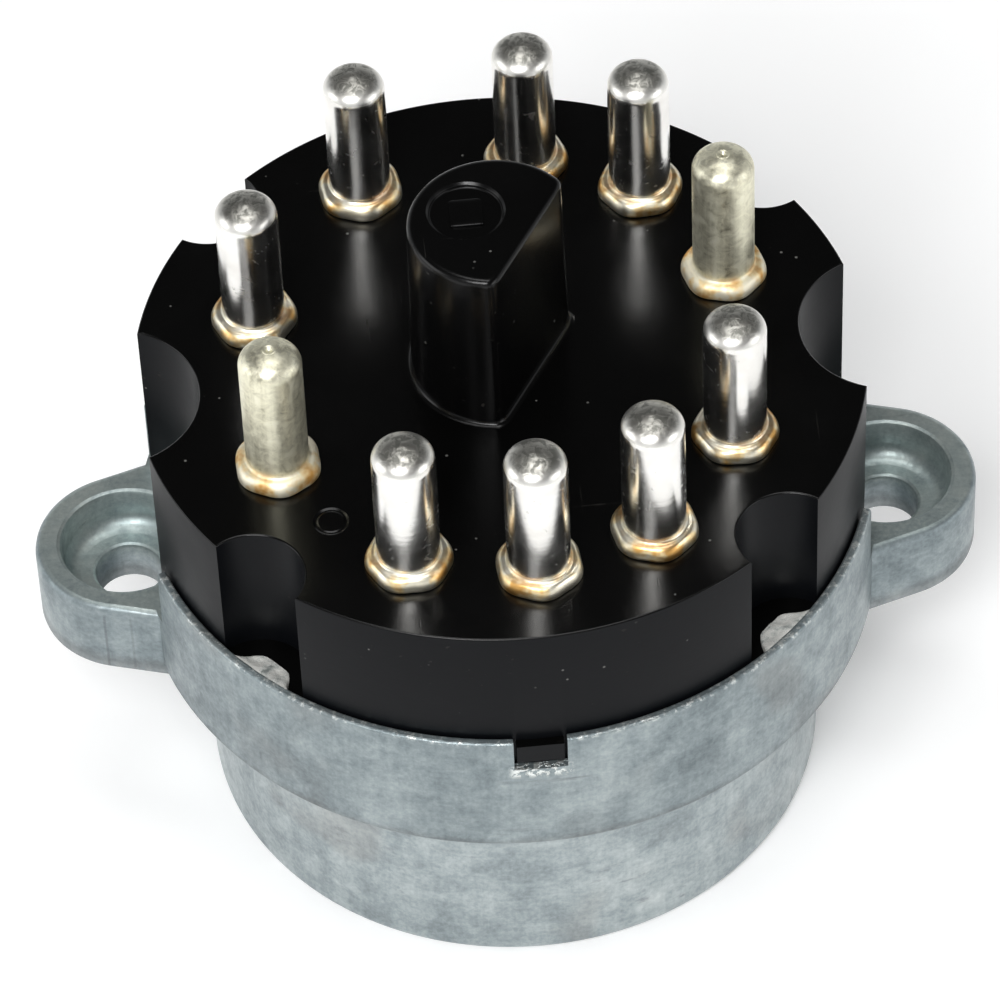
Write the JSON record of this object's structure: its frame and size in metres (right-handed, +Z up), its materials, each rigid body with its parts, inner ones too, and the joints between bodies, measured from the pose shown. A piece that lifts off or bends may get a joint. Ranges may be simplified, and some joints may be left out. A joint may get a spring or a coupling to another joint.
{
  "type": "ignition switch",
  "caption": "Rotary ignition switch: cast two-ear housing, black moulded terminal plate with a D post and round plug pins, sprung rotor inside",
  "frame": {"origin": "centre of the housing's bottom face", "axes": "+Z up toward the terminal pins, X through the two ear holes, the rim notch faces -Y"},
  "size_m": [0.0618, 0.0484, 0.0485],
  "materials": {
    "zinc_casting": null,
    "moulding_black": "glossy black thermoset moulding",
    "pin_bright": "bright nickel over brass",
    "pin_dull": "dull nickel over brass",
    "steel_plated": "zinc plated",
    "spring_steel": "oiled spring steel",
    "ball_steel": "polished",
    "seal_rubber": "matte",
    "washer_nylon": "natural nylon",
    "moulding_brown": "brown phenolic",
    "contact_brass": "bright"
  },
  "bodies": {
    "case": {"housing": "zinc_casting", "terminal_plate": "moulding_black", "terminal_pin_a": "pin_bright", "terminal_pin_b": "pin_bright", "terminal_pin_c": "pin_bright", "terminal_pin_d": "pin_dull", "terminal_pin_e": "pin_bright", "terminal_pin_f": "pin_bright", "terminal_pin_g": "pin_bright", "terminal_pin_h": "pin_bright", "terminal_pin_i": "pin_dull", "terminal_pin_j": "pin_bright", "shaft_seal": "seal_rubber", "thrust_washer": "washer_nylon", "detent_ring": "steel_plated", "return_spring": "spring_steel"},
    "rotor": {"drive_shaft": "steel_plated", "rotor": "moulding_brown", "retaining_clip": "spring_steel", "bridge_spring_1": "spring_steel", "bridge_spring_2": "spring_steel", "bridge_spring_3": "spring_steel", "detent_spring_1": "spring_steel", "detent_spring_2": "spring_steel"},
    "bridge_1": {"contact_bridge_1": "contact_brass"},
    "bridge_2": {"contact_bridge_2": "contact_brass"},
    "bridge_3": {"contact_bridge_3": "contact_brass"},
    "ball_1": {"detent_ball_1": "ball_steel"},
    "ball_2": {"detent_ball_2": "ball_steel"}
  },
  "joints": [
    {"name": "rotor_turn", "type": "hinge", "parent": "case", "child": "rotor", "pos_m": [0, 0, 0.0107], "axis": [0, 0, 1], "range_deg": [0, 115], "deforming": ["return_spring"]},
    {"name": "bridge_1_press", "type": "slide", "parent": "rotor", "child": "bridge_1", "axis": [0, 0, 1], "range_m": [-0.0006, 0], "stiffness_N_per_m": 800, "springref_m": 0.001, "deforming": ["bridge_spring_1"]},
    {"name": "bridge_2_press", "type": "slide", "parent": "rotor", "child": "bridge_2", "axis": [0, 0, 1], "range_m": [-0.0006, 0], "stiffness_N_per_m": 800, "springref_m": 0.001, "deforming": ["bridge_spring_2"]},
    {"name": "bridge_3_press", "type": "slide", "parent": "rotor", "child": "bridge_3", "axis": [0, 0, 1], "range_m": [-0.0006, 0], "stiffness_N_per_m": 800, "springref_m": 0.001, "deforming": ["bridge_spring_3"]},
    {"name": "detent_1_click", "type": "slide", "parent": "rotor", "child": "ball_1", "axis": [0.7071, 0.7071, 0], "range_m": [0, 0.0006], "stiffness_N_per_m": 800, "deforming": ["detent_spring_1"]},
    {"name": "detent_2_click", "type": "slide", "parent": "rotor", "child": "ball_2", "axis": [-0.7071, -0.7071, 0], "range_m": [0, 0.0006], "stiffness_N_per_m": 800, "deforming": ["detent_spring_2"]}
  ]
}
